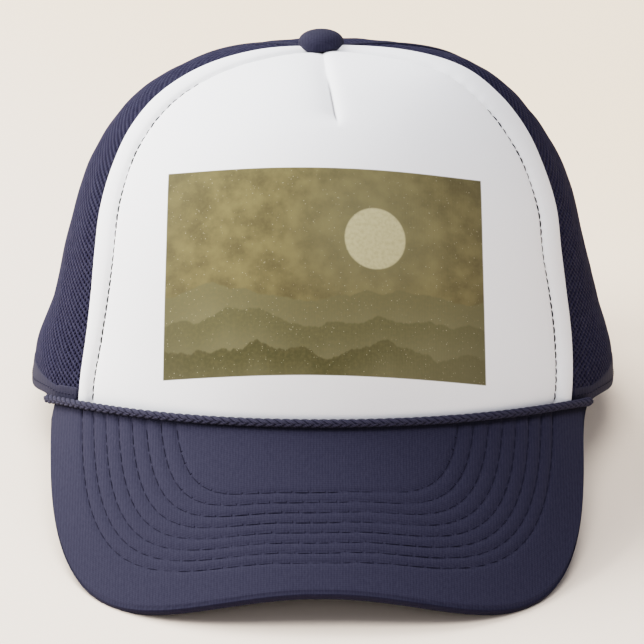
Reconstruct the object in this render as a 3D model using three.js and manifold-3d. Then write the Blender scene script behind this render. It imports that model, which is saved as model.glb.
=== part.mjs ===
// A trucker hat: foam front, net sides and back, a curved peak with a braided rope along its seam,
// a covered button on top and a strap across the arched opening at the back.
// The pieces are made in the hat's own frame: the rim lies in z = 0 around the origin and the peak
// points along -Y. At the end the whole hat is tilted back until it rests on the two front corners
// of the peak and on the hem at the back. Millimetres and degrees throughout.

import * as THREE from "three";
import { mergeVertices } from "three/addons/utils/BufferGeometryUtils.js";
import Module from "manifold-3d";

const wasm = await Module();
wasm.setup();

// Left and right are as seen from the front, so left is -X. An angle round the crown is 0 at the
// front and positive towards +X.

// Outer surface of the crown, one row for each level from the rim to the top: where the level lies
// at the side, the front and the back, the angles where the foam panel ends on the left and on the
// right, and how far the whole level leans towards +X.
const crownColumns = [
  "sideX", "sideY", "sideZ", "frontY", "frontZ", "backY", "backZ", "seamLeft", "seamRight", "leanX",
];
const crownLevels = [
  [96.9, 0, 0, -95.5, 0, 95, 0, 56, 56.4, 0.2],
  [95.5, 0, 13, -95.6, 15, 93, 13.5, 56.6, 58.2, 0.7],
  [91.1, 0, 27, -95, 31, 89.5, 27.5, 59, 62, 1.1],
  [87.8, 0, 40, -93, 47, 85.5, 41, 60.7, 63.7, 1.1],
  [84.8, -1, 53, -89.5, 62, 80.5, 54, 62.7, 65.2, 1.1],
  [81.3, -1, 66, -84, 76.5, 73.5, 67, 65, 67.8, 1.2],
  [76, -2, 78.5, -76, 90, 65, 79.5, 66.7, 69.6, 1.1],
  [68.6, -3, 90.5, -65.5, 101, 54.5, 91, 68.4, 72.4, 1],
  [58.5, -5, 101, -52.5, 109.3, 41.5, 101, 70.6, 74.4, 1.6],
  [44, -7, 109.5, -40, 113.8, 26, 109, 74.5, 79, 2.6],
  [24, -10, 114.6, -26.5, 115.9, 7, 114.6, 81, 86, 1.8],
  [0, -12, 116, -12, 116, -12, 116, 90, 90, -0.3],
].map((row) => Object.fromEntries(row.map((value, column) => [crownColumns[column], value])));
const sideSeamAngle = 122; // where the front and back net panels meet
const topLevel = 0.975; // the panels end here, under the button

// Wall thicknesses, and how deep each layer lies under the crown's outer surface
const foamThickness = 3.0;
const netDepth = 0.4;
const netThickness = 1.0;
const hemHeight = 8.5;
const leastHem = 5.5; // of its height above the peak seam
const hemRunOut = 22; // degrees in which its lower edge drops from the peak seam to the rim
const hemThickness = 1.9;
const sweatbandThickness = 1.2;
const sweatbandHeight = 29;
const sweatbandOverlap = 2.5; // how far it covers the inner edge of the peak
const gap = 0.35;

// Peak
const peakThickness = 3.2;
const peakMargin = 0.1; // of its length from the inside of the crown to the front edge
const peakMarginDrop = 0.6; // from the seam to the peak's inner edge
const peakEndInset = 0.004; // the corners at the temples end blunt
const peakEndAngle = 65; // the peak is sewn to the rim from -65 to 65
const peakSeamHeight = 11.6; // of the seam above the rim plane, at the front
const peakFall = 0.716; // drop for each millimetre forwards
const peakHalfWidth = 86.5;
const peakFrontY = -149.6;
const peakOutlinePower = 3.5;
const peakSag = 0.004; // of the cross section, at the front corners
const peakSagMore = 0.0022; // added towards the temples
const peakSagPower = 2.4;
const peakCornerY = -140;
const peakTempleY = -40;
const peakShiftFront = 0.2; // sideways shift of its outline at the front
const peakShiftSide = -1.8; // and at the temples

// Rope braid
const ropeDiameter = 2.8;
const ropeEndAngle = 67;

// Button
const buttonRadius = 7.4;
const buttonHeight = 5.3;
const buttonLift = 0.2;

// Back opening, its binding and the strap
const archHalfWidth = 43;
const archHeight = 50;
const archPower = 2.4;
const archColumns = 28;
const bindingWidth = 8;
const rimRadius = 95; // turns a distance along the back rim into an angle
const strapLow = 2.6;
const strapHigh = 17;
const strapThickness = 2.2;
const strapOverlap = 9; // how far each end reaches past the opening

// How the hat rests: tilted back, with the middle of its rim here. Cloth that would reach below
// z = 0 is pressed flat there.
const restTilt = 9.6;
const rimCentre = new THREE.Vector3(-0.2, 30.2, 13.6);
const belowFloor = 40;
const floorSize = 500;

const toRadians = Math.PI / 180;

// Catmull-Rom value of one named column at level 0 to 1
function columnAt(column, level) {
  const place = Math.min(Math.max(level, 0), 1) * (crownLevels.length - 1);
  const first = Math.min(Math.floor(place), crownLevels.length - 2);
  const part = place - first;
  const value = (row) => {
    const last = crownLevels.length - 1;
    if (row < 0) return 2 * crownLevels[0][column] - crownLevels[1][column];
    if (row > last) return 2 * crownLevels[last][column] - crownLevels[last - 1][column];
    return crownLevels[row][column];
  };
  const [before, from, to, after] = [value(first - 1), value(first), value(first + 1), value(first + 2)];
  return (
    from +
    0.5 * part * (to - before + part * (2 * before - 5 * from + 4 * to - after +
      part * (3 * (from - to) + after - before)))
  );
}

function crownPoint(angle, level) {
  const across = Math.sin(angle * toRadians);
  const along = Math.cos(angle * toRadians);
  const end = along > 0 ? "front" : "back";
  const sideY = columnAt("sideY", level);
  const sideZ = columnAt("sideZ", level);
  return new THREE.Vector3(
    columnAt("sideX", level) * across + columnAt("leanX", level),
    sideY + (columnAt(end + "Y", level) - sideY) * Math.abs(along),
    sideZ + (columnAt(end + "Z", level) - sideZ) * along * along,
  );
}

function crownNormal(angle, level) {
  const turn = 0.5;
  const rise = 0.004;
  const low = Math.max(level - rise, 0);
  const high = Math.min(level + rise, 0.999);
  const round = crownPoint(angle + turn, level).sub(crownPoint(angle - turn, level));
  const up = crownPoint(angle, high).sub(crownPoint(angle, low));
  return round.cross(up).normalize();
}

// The point that lies the given depth under the crown's outer surface
function crownInside(angle, level, depth) {
  return crownPoint(angle, level).addScaledVector(crownNormal(angle, level), -depth);
}

// The level at which the crown's outer surface reaches a height, at one angle
function levelAt(angle, height) {
  let low = -0.1;
  let high = 0.6;
  for (let step = 0; step < 30; step += 1) {
    const middle = (low + high) / 2;
    if (heightAt(angle, middle) < height) low = middle;
    else high = middle;
  }
  return (low + high) / 2;
}

function heightAt(angle, level) {
  if (level >= 0) return crownPoint(angle, level).z;
  return crownPoint(angle, 0).z + level * (crownPoint(angle, 0.1).z - crownPoint(angle, 0).z) * 10;
}

const between = (from, to, part) => from + (to - from) * part;

// 0 up to part 0 and 1 from part 1 on, with a smooth rise between
function eased(part) {
  const kept = Math.min(Math.max(part, 0), 1);
  return kept * kept * (3 - 2 * kept);
}

// A closed solid between two sheets. corner(u, v, side) gives a point of the outer sheet for side 0
// and of the inner one for side 1, with u and v from 0 to 1.
function wall(columns, rows, corner) {
  const positions = [];
  const index = [];
  const at = (column, row, side) => (side * (rows + 1) + row) * (columns + 1) + column;
  for (const side of [0, 1]) {
    for (let row = 0; row <= rows; row += 1) {
      for (let column = 0; column <= columns; column += 1) {
        positions.push(...corner(column / columns, row / rows, side).toArray());
      }
    }
  }
  const quad = (a, b, c, d) => index.push(a, b, c, a, c, d);
  for (let row = 0; row < rows; row += 1) {
    for (let column = 0; column < columns; column += 1) {
      quad(at(column, row, 0), at(column + 1, row, 0), at(column + 1, row + 1, 0), at(column, row + 1, 0));
      quad(at(column, row, 1), at(column, row + 1, 1), at(column + 1, row + 1, 1), at(column + 1, row, 1));
    }
  }
  for (let column = 0; column < columns; column += 1) {
    quad(at(column, 0, 1), at(column + 1, 0, 1), at(column + 1, 0, 0), at(column, 0, 0));
    quad(at(column, rows, 0), at(column + 1, rows, 0), at(column + 1, rows, 1), at(column, rows, 1));
  }
  for (let row = 0; row < rows; row += 1) {
    quad(at(0, row, 0), at(0, row + 1, 0), at(0, row + 1, 1), at(0, row, 1));
    quad(at(columns, row, 1), at(columns, row + 1, 1), at(columns, row + 1, 0), at(columns, row, 0));
  }
  const geometry = new THREE.BufferGeometry();
  geometry.setAttribute("position", new THREE.Float32BufferAttribute(positions, 3));
  geometry.setIndex(index);
  return geometry;
}

// Height of the peak's upper face above a point of the rim plane
function peakTop(x, y) {
  const ahead = crownLevels[0].frontY - y;
  const back = Math.max(y - peakCornerY, 0) / (peakTempleY - peakCornerY);
  const sag = peakSag + peakSagMore * Math.pow(back, peakSagPower);
  return peakSeamHeight - peakFall * ahead - sag * x * x;
}

// Height of the seam between the crown and the peak, at an angle round the rim
function seamHeight(angle) {
  if (Math.abs(angle) > peakEndAngle) return 0;
  const point = crownPoint(angle, 0);
  return Math.max(peakTop(point.x, point.y), 0);
}

// Edges between the panels, as the angle at each level. A negative sign is the side towards -X.
const foamEdge = (sign) => (level) => sign * columnAt(sign > 0 ? "seamRight" : "seamLeft", level);
const halfGap = (level) => gap / Math.max(columnAt("sideX", level) * toRadians, 0.3) / 2;
const netFront = (sign) => (level) => foamEdge(sign)(level) + sign * 2 * halfGap(level);
const netMiddle = (sign, beyond) => (level) => sign * (sideSeamAngle + beyond * halfGap(level));
const netCentre = (sign) => (level) => sign * (180 - halfGap(level));

// A piece of the crown's wall. from and to give its two edges as an angle for each level, low and
// high its lower and upper ends as a level for each angle, and depth how deep its outer face lies.
// spread may space its columns unevenly from the first edge to the second.
function crownPatch({ columns, rows, from, to, low, high, depth, thickness, spread = (u) => u }) {
  const seamLevel = 0.07;
  const turned = from(seamLevel) > to(seamLevel);
  return wall(columns, rows, (u, v, side) => {
    const part = spread(turned ? 1 - u : u);
    const lowAngle = between(from(seamLevel), to(seamLevel), part);
    const level = between(low(lowAngle), high(lowAngle), v);
    return crownInside(between(from(level), to(level), part), level, depth + side * thickness);
  });
}

function frontPanel() {
  return crownPatch({
    columns: 26,
    rows: 16,
    from: foamEdge(-1),
    to: foamEdge(1),
    low: (angle) => levelAt(angle, seamHeight(angle) + gap),
    high: () => topLevel,
    depth: 0,
    thickness: foamThickness,
  });
}

// Distance along the back rim from the centre, for an angle, and the other way round
const backDistance = (angle) => (180 - Math.abs(angle)) * toRadians * rimRadius;
const backAngle = (distance) => 180 - distance / (rimRadius * toRadians);

// Height of the arch at a distance from the centre, and a place on it for a turn of -90 to 90
// degrees. Both run round the opening itself or, widened, round the outside of its binding.
function archRise(distance, widen) {
  const part = Math.min(Math.abs(distance) / (archHalfWidth + widen), 1);
  return (archHeight + widen) * Math.pow(1 - Math.pow(part, archPower), 1 / archPower);
}

function archPlace(turn, widen) {
  const across = Math.sin(turn * toRadians);
  const distance = (archHalfWidth + widen) * Math.sign(across) * Math.pow(Math.abs(across), 2 / archPower);
  return { distance, height: archRise(distance, widen) };
}

// The hem stands on the inner margin of the peak where the peak is sewn in, and on the rim elsewhere
function hemBottom(angle) {
  const onPeak = seamHeight(Math.sign(angle) * Math.min(Math.abs(angle), peakEndAngle)) + gap;
  return onPeak * (1 - eased((Math.abs(angle) - peakEndAngle - 1) / hemRunOut));
}
const hemTop = (angle) => Math.max(hemHeight, seamHeight(angle) + leastHem);

function hem(sign) {
  const end = sign * backAngle(archHalfWidth + bindingWidth + gap);
  return crownPatch({
    columns: 24,
    rows: 1,
    from: netFront(sign),
    to: () => end,
    low: (angle) => levelAt(angle, hemBottom(angle)),
    high: (angle) => levelAt(angle, hemTop(angle)),
    depth: 0,
    thickness: hemThickness,
  });
}

function frontNet(sign) {
  return crownPatch({
    columns: 9,
    rows: 14,
    from: netFront(sign),
    to: netMiddle(sign, -1),
    low: (angle) => levelAt(angle, hemTop(angle) + gap),
    high: () => topLevel,
    depth: netDepth,
    thickness: netThickness,
  });
}

function backNet(sign) {
  const widen = bindingWidth + gap;
  const foot = backAngle(archPlace(90, widen).distance);
  const besideColumns = 4;
  const columns = besideColumns + archColumns / 2;
  const columnAngle = (column) => {
    if (column <= besideColumns) return between(sideSeamAngle, foot, column / besideColumns);
    return backAngle(archPlace(90 * (1 - (column - besideColumns) / (archColumns / 2)), widen).distance);
  };
  return crownPatch({
    columns,
    rows: 14,
    from: netMiddle(sign, 1),
    to: netCentre(sign),
    spread: (u) => (columnAngle(Math.round(u * columns)) - sideSeamAngle) / (180 - sideSeamAngle),
    low: (angle) => {
      const arch = archRise(backDistance(angle), widen);
      return levelAt(angle, Math.max(hemTop(angle) + gap, arch));
    },
    high: () => topLevel,
    depth: netDepth,
    thickness: netThickness,
  });
}

// The tape round the arched opening, as wide as bindingWidth all the way
function archBinding() {
  return wall(archColumns, 1, (u, v, side) => {
    const { distance, height } = archPlace(between(90, -90, u), v * bindingWidth);
    const angle = backAngle(distance);
    return crownInside(angle, levelAt(angle, height), side * hemThickness);
  });
}

function snapStrap() {
  const reach = archHalfWidth + strapOverlap;
  const depth = hemThickness + gap;
  return wall(18, 1, (u, v, side) => {
    const angle = backAngle(between(reach, -reach, u));
    const level = levelAt(angle, between(strapLow, strapHigh, v));
    return crownInside(angle, level, depth + side * strapThickness);
  });
}

// The sweatband lies close behind the foam in front and close behind the hem at the sides
function sweatband() {
  const end = backAngle(archHalfWidth + strapOverlap + 2 * gap);
  const frontDepth = foamThickness + gap;
  const sideDepth = hemThickness + gap;
  return wall(48, 1, (u, v, side) => {
    const angle = between(-end, end, u);
    const depth = between(frontDepth, sideDepth, eased((Math.abs(angle) - peakEndAngle) / 20));
    const bottom = Math.max(seamHeight(angle) - sweatbandOverlap, 0.8);
    const level = levelAt(angle, between(bottom, seamHeight(angle) * 0.5 + sweatbandHeight, v));
    return crownInside(angle, level, depth + side * sweatbandThickness);
  });
}

// A place on the peak's upper face. The first stretch, up to peakMargin, lies level under the
// crown's wall. From there the face follows peakTop out to an outline that is a superellipse.
function peakPlace(u, v) {
  const angle = between(-peakEndAngle, peakEndAngle, u);
  if (v < peakMargin) {
    const inwards = 1 - v / peakMargin;
    const under = crownInside(angle, 0, foamThickness * inwards);
    return under.setZ(seamHeight(angle) - peakMarginDrop * inwards);
  }
  const rim = crownPoint(angle, 0);
  const turn = between(-Math.PI / 2, Math.PI / 2, u);
  const round = (value) => Math.sign(value) * Math.pow(Math.abs(value), 2 / peakOutlinePower);
  const shift = between(peakShiftSide, peakShiftFront, Math.cos(turn));
  const outerX = peakHalfWidth * round(Math.sin(turn)) + shift;
  const outerY = peakTempleY - (peakTempleY - peakFrontY) * round(Math.cos(turn));
  const part = (v - peakMargin) / (1 - peakMargin);
  const x = between(rim.x, outerX, part);
  const y = between(rim.y, outerY, part);
  return new THREE.Vector3(x, y, peakTop(x, y));
}

function peakNormal(x, y) {
  const step = 0.5;
  const slopeX = (peakTop(x + step, y) - peakTop(x - step, y)) / (2 * step);
  const slopeY = (peakTop(x, y + step) - peakTop(x, y - step)) / (2 * step);
  return new THREE.Vector3(-slopeX, -slopeY, 1).normalize();
}

function peak() {
  const crowded = (part) => part - 0.12 * Math.sin(2 * Math.PI * part); // closer at the temples
  return wall(40, 10, (u, v, side) => {
    const place = peakPlace(between(1 - peakEndInset, peakEndInset, crowded(u)), v);
    const upright = new THREE.Vector3(0, 0, 1);
    const normal = upright.lerp(peakNormal(place.x, place.y), Math.min(v / peakMargin, 1));
    return place.addScaledVector(normal.normalize(), -side * peakThickness);
  });
}

// The rope lies in the corner between the crown's lower edge and the peak's upper face
class RopeRoute extends THREE.Curve {
  getPoint(part, target = new THREE.Vector3()) {
    const angle = between(-ropeEndAngle, ropeEndAngle, part);
    const out = ropeDiameter / 2 + gap;
    const beside = crownInside(angle, 0, -out);
    const normal = peakNormal(beside.x, beside.y);
    return target.set(beside.x, beside.y, peakTop(beside.x, beside.y) + out / normal.z);
  }
}

function ropeBraid() {
  const section = new THREE.Shape();
  section.absarc(0, 0, ropeDiameter / 2, 0, 2 * Math.PI);
  return new THREE.ExtrudeGeometry(section, {
    extrudePath: new RopeRoute(),
    steps: 56,
    curveSegments: 4,
    bevelEnabled: false,
  });
}

function topButton() {
  const skirt = 0.9;
  const profile = [new THREE.Vector2(0, 0), new THREE.Vector2(buttonRadius - skirt, 0)];
  for (let step = 0; step <= 6; step += 1) {
    const turn = (step / 6) * (Math.PI / 2);
    const rise = skirt + (buttonHeight - skirt) * Math.sin(turn);
    profile.push(new THREE.Vector2(buttonRadius * Math.cos(turn), rise));
  }
  profile[profile.length - 1].x = 0;
  return new THREE.LatheGeometry(profile, 24);
}

const material = (color, roughness) => new THREE.MeshStandardMaterial({ color, roughness, metalness: 0 });
const foamWhite = material(0xe9e9ea, 0.95);
const netNavy = material(0x2b2c47, 0.8);
const twillNavy = material(0x34354f, 0.9);
const cordNavy = material(0x3a3b57, 0.9);
const strapNavy = material(0x23243a, 0.45);

const hat = new THREE.Group();
hat.rotation.x = -restTilt * toRadians;
hat.position.copy(rimCentre);
hat.updateMatrix();

function solidOf(geometry) {
  const bare = geometry.clone();
  bare.deleteAttribute("normal");
  bare.deleteAttribute("uv");
  const merged = mergeVertices(bare);
  return new wasm.Manifold(new wasm.Mesh({
    numProp: 3,
    vertProperties: merged.attributes.position.array,
    triVerts: new Uint32Array(merged.index.array),
  }));
}

// A geometry of the hat's own frame without what lies below the floor
function flattened(geometry) {
  const below = new THREE.BoxGeometry(floorSize, floorSize, belowFloor);
  below.translate(0, 0, -belowFloor / 2).applyMatrix4(hat.matrix.clone().invert());
  const { vertProperties, triVerts } = solidOf(geometry).subtract(solidOf(below)).getMesh();
  const cut = new THREE.BufferGeometry();
  cut.setAttribute("position", new THREE.BufferAttribute(vertProperties, 3));
  cut.setIndex(new THREE.BufferAttribute(triVerts, 1));
  return cut;
}

function addPiece(name, geometry, surface) {
  const mesh = new THREE.Mesh(geometry, surface);
  mesh.name = name;
  hat.add(mesh);
  return mesh;
}

addPiece("front_panel", frontPanel(), foamWhite);
addPiece("mesh_front_left", frontNet(-1), netNavy);
addPiece("mesh_front_right", frontNet(1), netNavy);
addPiece("mesh_back_left", backNet(-1), netNavy);
addPiece("mesh_back_right", backNet(1), netNavy);
addPiece("hem_left", flattened(hem(-1)), twillNavy);
addPiece("hem_right", flattened(hem(1)), twillNavy);
addPiece("arch_binding", flattened(archBinding()), twillNavy);
addPiece("snap_strap", snapStrap(), strapNavy);
addPiece("sweatband", sweatband(), twillNavy);
addPiece("peak", flattened(peak()), twillNavy);
addPiece("rope_braid", ropeBraid(), cordNavy);

const button = addPiece("top_button", topButton(), twillNavy);
button.rotation.x = Math.PI / 2;
button.position.copy(crownPoint(0, 1));
button.position.z += buttonLift;

const part = new THREE.Group();
part.add(hat);
export default part;
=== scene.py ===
"""A trucker hat: foam front with a print, net sides and back, a stitched peak and a braided rope."""

import math

import bpy
import numpy as np
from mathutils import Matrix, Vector


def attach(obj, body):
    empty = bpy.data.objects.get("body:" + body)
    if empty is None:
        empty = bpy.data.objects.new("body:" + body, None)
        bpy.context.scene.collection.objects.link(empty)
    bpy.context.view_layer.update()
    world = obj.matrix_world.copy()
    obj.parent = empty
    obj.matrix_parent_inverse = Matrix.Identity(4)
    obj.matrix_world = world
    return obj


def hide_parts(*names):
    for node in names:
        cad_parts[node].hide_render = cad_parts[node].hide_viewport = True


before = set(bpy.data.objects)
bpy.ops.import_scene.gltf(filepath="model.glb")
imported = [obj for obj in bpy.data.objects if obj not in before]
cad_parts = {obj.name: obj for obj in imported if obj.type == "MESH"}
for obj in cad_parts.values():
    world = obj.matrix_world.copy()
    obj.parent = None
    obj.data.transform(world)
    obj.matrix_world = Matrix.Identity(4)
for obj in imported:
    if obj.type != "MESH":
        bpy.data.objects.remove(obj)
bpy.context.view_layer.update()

# Pieces are made in the hat's own frame, as in the CAD: the rim lies in z = 0 around the origin, the
# peak points along -Y, and left is -X. Millimetres and degrees, until place() turns them into metres
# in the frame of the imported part.
REST_TILT = math.radians(9.6)
RIM_CENTRE = np.array([-0.2, 30.2, 13.6])

# Outer surface of the crown at twelve levels from the rim to the top. The two stitch columns say how
# far inside the foam's edge its topstitching runs.
CROWN = {
    "side_x": (96.9, 95.5, 91.1, 87.8, 84.8, 81.3, 76, 68.6, 58.5, 44, 24, 0),
    "side_y": (0, 0, 0, 0, -1, -1, -2, -3, -5, -7, -10, -12),
    "side_z": (0, 13, 27, 40, 53, 66, 78.5, 90.5, 101, 109.5, 114.6, 116),
    "front_y": (-95.5, -95.6, -95, -93, -89.5, -84, -76, -65.5, -52.5, -40, -26.5, -12),
    "front_z": (0, 15, 31, 47, 62, 76.5, 90, 101, 109.3, 113.8, 115.9, 116),
    "back_y": (95, 93, 89.5, 85.5, 80.5, 73.5, 65, 54.5, 41.5, 26, 7, -12),
    "back_z": (0, 13.5, 27.5, 41, 54, 67, 79.5, 91, 101, 109, 114.6, 116),
    "seam_left": (56, 56.6, 59, 60.7, 62.7, 65, 66.7, 68.4, 70.6, 74.5, 81, 90),
    "seam_right": (56.4, 58.2, 62, 63.7, 65.2, 67.8, 69.6, 72.4, 74.4, 79, 86, 90),
    "lean_x": (0.2, 0.7, 1.1, 1.1, 1.1, 1.2, 1.1, 1, 1.6, 2.6, 1.8, -0.3),
    "stitch_left": (8.2, 7, 8.6, 10.2, 11.3, 11.6, 10.9, 11.3, 11.8, 12, 10, 5),
    "stitch_right": (9.8, 8.8, 10.2, 10.6, 12, 12.6, 12.4, 14.2, 14.6, 13.5, 11, 5),
}
SIDES = (("left", -1), ("right", 1))
SIDE_SEAM = 122
SEAM_LEVEL = 0.07
TOP_LEVEL = 0.975

FOAM_THICKNESS = 3.0
NET_DEPTH = 0.4
NET_THICKNESS = 1.0
HEM_HEIGHT = 8.5
LEAST_HEM = 5.5
HEM_RUN_OUT = 22
HEM_THICKNESS = 1.9
HEM_CLEARANCE = 0.3
HEM_STITCH_INSET = 2.6
HEM_STITCH_DEPTH = 0.02
SWEATBAND_THICKNESS = 1.2
SWEATBAND_HEIGHT = 29
SWEATBAND_RISE = 0.5
SWEATBAND_OVERLAP = 2.5
SWEATBAND_FOOT = 0.8
SWEATBAND_RUN_OUT = 20
GAP = 0.35

PEAK_THICKNESS = 3.2
PEAK_EDGE_BULGE = 0.75
PEAK_EDGE_ROUND = 0.9
PEAK_UNDER_INSET = 0.25
PEAK_MARGIN = 0.1
PEAK_MARGIN_DROP = 0.6
PEAK_END_ANGLE = 65
PEAK_SEAM_HEIGHT = 11.6
PEAK_FALL = 0.716
PEAK_HALF_WIDTH = 86.5
PEAK_FRONT_Y = -149.6
PEAK_OUTLINE_POWER = 3.6
PEAK_SAG = 0.004
PEAK_SAG_MORE = 0.0022
PEAK_SAG_POWER = 2.4
PEAK_CORNER_Y = -140
PEAK_TEMPLE_Y = -40
PEAK_SHIFT_FRONT = 0.2
PEAK_SHIFT_SIDE = -1.8

ROPE_DIAMETER = 2.8
ROPE_LEFT_END = -67
ROPE_RIGHT_END = 63
BUTTON_RADIUS = 7.4
BUTTON_HEIGHT = 5.3
BUTTON_LIFT = 0.2
BUTTON_RIM = 0.18
BUTTON_DOME_POWER = 2.3
BUTTON_DRAW_IN = 0.1

ARCH_HALF_WIDTH = 43
ARCH_HEIGHT = 50
ARCH_POWER = 2.4
BINDING_WIDTH = 8
RIM_RADIUS = 95
STRAP_LOW = 2.6
STRAP_HIGH = 17
STRAP_THICKNESS = 2.2
STRAP_OVERLAP = 9

# Net: the pitches and size of its holes, how they are turned, and the soft waves of the cloth
HOLE_PITCH = 1.7
HOLE_ROWS = 1.8
HOLE_SHARE = 0.52
HOLE_UNEVENNESS = 0.1
STRAND_RIDGE = 0.1
NET_TURN = math.radians(23)
NET_WAVE = 0.35
NET_WAVE_SIZE = 30
NET_RIPPLE = 0.22
NET_RIPPLE_SIZE = 9

# Seam tapes of the net: their size, and the levels where they start and grow narrower
TAPE_HALF_WIDTH = 1.9
TAPE_HALF_WIDTH_TOP = 0.9
TAPE_NARROWS_FROM = 0.7
TAPE_NARROWS_OVER = 0.25
SIDE_TAPE_FOOT = 0.06
BACK_TAPE_FOOT = 0.42
TAPE_HALF_DEPTH = 0.75
TAPE_SUNK = 0.5

# Peak stitching: rows from the outermost inwards, each the peak's outline at a smaller size
ROW_COUNT = 8
ROW_HALF_WIDTH = 76.6
ROW_HALF_WIDTH_STEP = 3.75
ROW_HALF_WIDTH_GROWTH = 0.08
ROW_SHIFT = -1.5
ROW_FRONT_Y = -140.2
ROW_FRONT_Y_STEP = 3.25
ROW_POWER = 3.55
ROW_POWER_STEP = 0.15
ROW_BOW = 1.3
ROW_BOW_WIDTH = 14
ROW_SPACING = 4.0
ROW_GROOVE_DEPTH = 0.34
ROW_GROOVE_WIDTH = 0.45
QUILT_DEPTH = 0.16
QUILT_WIDTH = 1.6
PEAK_DENT_DEPTH = 0.12
PEAK_DENT_SIZE = 45
PEAK_STITCH_PITCH = 5.3
PEAK_STITCH_SHARE = 0.82
PEAK_STITCH_STAGGER = 0.37
PEAK_STITCH_DEPTH = 0.37
PEAK_THREAD_WIDTH = 0.26
TICK_REACH = 46
TICK_LENGTH = 1.1

# Topstitching of the foam: the share of a pitch that shows, and the levels where its two lines end
FOAM_STITCH_PITCH = 2.8
FOAM_STITCH_SHARE = 0.84
FOAM_STITCH_LIFT = 0.5
FOAM_STITCH_START = 0.06
FOAM_STITCH_LEFT_END = 0.78
FOAM_STITCH_RIGHT_END = 0.71
FOAM_THREAD_WIDTH = 0.44

# Stitching of the hem and the binding
HEM_STITCH_PITCH = 2.4
BINDING_STITCH_PITCH = 2.6
FINE_STITCH_SHARE = 0.62
FINE_THREAD_WIDTH = 0.42


def full_turn(count):
    """Angles of that many even steps round a circle."""
    return np.linspace(0, 2 * math.pi, count, endpoint=False)


def between(start, end, part):
    return start + (end - start) * part


def eased(part):
    kept = np.clip(part, 0, 1)
    return kept * kept * (3 - 2 * kept)


def hump(off, width, height=1):
    """A smooth bump of that height where off is 0, and nothing a few widths away."""
    return height * np.exp(-((off / width) ** 2))


def unit(vectors):
    return vectors / np.maximum(np.linalg.norm(vectors, axis=-1, keepdims=True), 1e-12)


def lengths_along(line):
    """Distance of each point of a line from its first point, measured along the line."""
    return np.concatenate([[0], np.cumsum(np.linalg.norm(np.diff(line, axis=0), axis=1))])


def at_distance(values, lengths, distance):
    """Rows of values, given at those lengths along a line, at other distances along it."""
    return np.stack([np.interp(distance, lengths, values[:, axis]) for axis in range(3)], axis=-1)


def signed_power(value, power):
    return np.sign(value) * np.abs(value) ** power


def column_at(name, level):
    """Catmull-Rom value of one column of CROWN at level 0 to 1."""
    values = np.array(CROWN[name], float)
    ends = 2 * values[[0, -1]] - values[[1, -2]]
    padded = np.concatenate([ends[:1], values, ends[1:]])
    place_in = np.clip(level, 0, 1) * (len(values) - 1)
    first = np.minimum(place_in.astype(int), len(values) - 2)
    part = place_in - first
    before, start, end, after = (padded[first + step] for step in range(4))
    cubic = 3 * (start - end) + after - before
    square = 2 * before - 5 * start + 4 * end - after
    return start + 0.5 * part * (end - before + part * (square + part * cubic))


def crown_point(angle, level):
    """A point of the crown's outer surface. The angle is 0 at the front and positive towards +X."""
    angle, level = np.broadcast_arrays(angle, level)
    across = np.sin(np.radians(angle))
    along = np.cos(np.radians(angle))
    front = along > 0
    end_y = np.where(front, column_at("front_y", level), column_at("back_y", level))
    end_z = np.where(front, column_at("front_z", level), column_at("back_z", level))
    side_y = column_at("side_y", level)
    side_z = column_at("side_z", level)
    x = column_at("side_x", level) * across + column_at("lean_x", level)
    y = side_y + (end_y - side_y) * np.abs(along)
    z = side_z + (end_z - side_z) * along**2
    return np.stack([x, y, z], axis=-1)


def crown_normal(angle, level):
    """The direction out of the crown's surface, from points a small turn and rise apart."""
    turn = 0.5
    rise = 0.004
    low = np.maximum(level - rise, 0)
    high = np.minimum(level + rise, 0.999)
    round_it = crown_point(angle + turn, level) - crown_point(angle - turn, level)
    up = crown_point(angle, high) - crown_point(angle, low)
    return unit(np.cross(round_it, up))


def crown_inside(angle, level, depth):
    """The point that lies the given depth under the crown's outer surface."""
    angle, level, depth = np.broadcast_arrays(angle, level, depth)
    return crown_point(angle, level) - crown_normal(angle, level) * depth[..., None]


def bisected(low, high, steps, shape, below):
    """Where a test turns from true to false between two values, for an array of places at once."""
    low = np.full(shape, float(low))
    high = np.full(shape, float(high))
    for _ in range(steps):
        middle = (low + high) / 2
        still = below(middle)
        low = np.where(still, middle, low)
        high = np.where(still, high, middle)
    return (low + high) / 2


def level_at(angle, height):
    """The level at which the crown's outer surface reaches a height, at one angle."""
    angle, height = np.broadcast_arrays(angle, height)
    return bisected(0, 0.6, 24, angle.shape, lambda level: crown_point(angle, level)[..., 2] < height)


def peak_top(x, y):
    """Height of the peak's upper face above a point of the rim plane."""
    ahead = CROWN["front_y"][0] - y
    back = np.maximum(y - PEAK_CORNER_Y, 0) / (PEAK_TEMPLE_Y - PEAK_CORNER_Y)
    sag = PEAK_SAG + PEAK_SAG_MORE * back**PEAK_SAG_POWER
    return PEAK_SEAM_HEIGHT - PEAK_FALL * ahead - sag * x * x


def peak_normal(x, y):
    step = 0.5
    slope_x = (peak_top(x + step, y) - peak_top(x - step, y)) / (2 * step)
    slope_y = (peak_top(x, y + step) - peak_top(x, y - step)) / (2 * step)
    return unit(np.stack([-slope_x, -slope_y, np.ones_like(slope_x)], axis=-1))


def seam_height(angle):
    """Height of the seam between the crown and the peak."""
    rim = crown_point(angle, 0.0)
    height = np.maximum(peak_top(rim[..., 0], rim[..., 1]), 0)
    return np.where(np.abs(angle) > PEAK_END_ANGLE, 0, height)


def foam_edge(sign):
    name = "seam_right" if sign > 0 else "seam_left"
    return lambda level: sign * column_at(name, level)


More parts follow.
